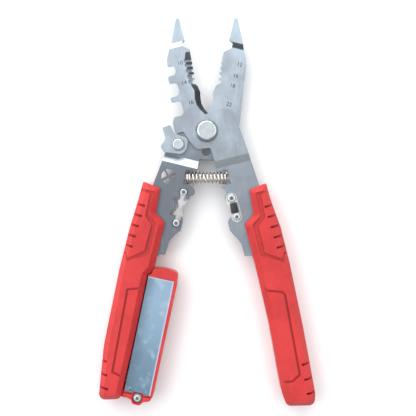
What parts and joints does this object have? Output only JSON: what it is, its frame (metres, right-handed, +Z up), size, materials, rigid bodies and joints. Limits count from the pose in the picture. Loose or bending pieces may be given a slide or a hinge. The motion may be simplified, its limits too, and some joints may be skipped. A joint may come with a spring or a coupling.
{
  "type": "wire stripper",
  "caption": "Plier-type wire stripper with graded stripping notches, bending hooks, crimping dies, sprung red handles, thumb latch and a swing-out storage tray.",
  "frame": {"origin": "on the main pivot's axis, in the plane that the tool lies on (the face of the main nut)", "axes": "+Y from the pivot between the two noses, +Z up out of the front face (bolt head side), +X to the right, towards the handle without the tray"},
  "size_m": [0.1207, 0.2172, 0.0156],
  "materials": {
    "ground_steel": "stamped, ground and satin polished tool steel",
    "bright_steel": "bright turned and plated steel",
    "spring_steel": "bright drawn wire",
    "blackened_steel": "blackened hardened steel",
    "red_plastic": "moulded satin plastic with fine texture",
    "clear_cover": "frosted clear plastic sheet with polished sawn edges"
  },
  "bodies": {
    "rear_half": {"rear_plate": "ground_steel", "left_grip": "red_plastic", "pivot_bolt": "bright_steel", "pivot_washer": "bright_steel", "pivot_nut": "bright_steel", "latch_bolt": "bright_steel", "latch_washer": "bright_steel", "latch_nut": "bright_steel", "crimp_die_left": "bright_steel", "die_pin_upper": "bright_steel", "die_pin_lower": "bright_steel", "return_spring": "spring_steel", "tray_pivot_screw": "bright_steel", "tray_eyelet": "bright_steel", "tray_pivot_nut": "bright_steel"},
    "front_half": {"front_plate": "ground_steel", "right_grip": "red_plastic", "crimp_seat_right": "bright_steel", "crimp_insert_right": "blackened_steel", "crimp_screw_upper": "bright_steel", "crimp_screw_lower": "bright_steel"},
    "latch": {"latch_lever": "ground_steel"},
    "storage_tray": {"tray": "red_plastic", "tray_window": "clear_cover", "tray_cover_rivet": "bright_steel"}
  },
  "joints": [
    {"name": "jaw_pivot", "type": "hinge", "parent": "rear_half", "child": "front_half", "pos_m": [0, 0, 0.0078], "axis": [0, 0, -1], "range_deg": [0, 27.3], "stiffness_Nm_per_rad": 1.5, "springref_deg": -28.65, "deforming": ["return_spring"]},
    {"name": "latch_turn", "type": "hinge", "parent": "rear_half", "child": "latch", "pos_m": [-0.01596, -0.00765, 0.0078], "axis": [0, 0, -1], "range_deg": [0, 30.1]},
    {"name": "tray_swing", "type": "hinge", "parent": "rear_half", "child": "storage_tray", "pos_m": [-0.03872, -0.14928, 0.0078], "axis": [0, 0, -1], "range_deg": [0, 180]}
  ],
  "couplings": [
    {"joint": "latch_turn", "follows": "jaw_pivot", "ratio": 1.1}
  ]
}
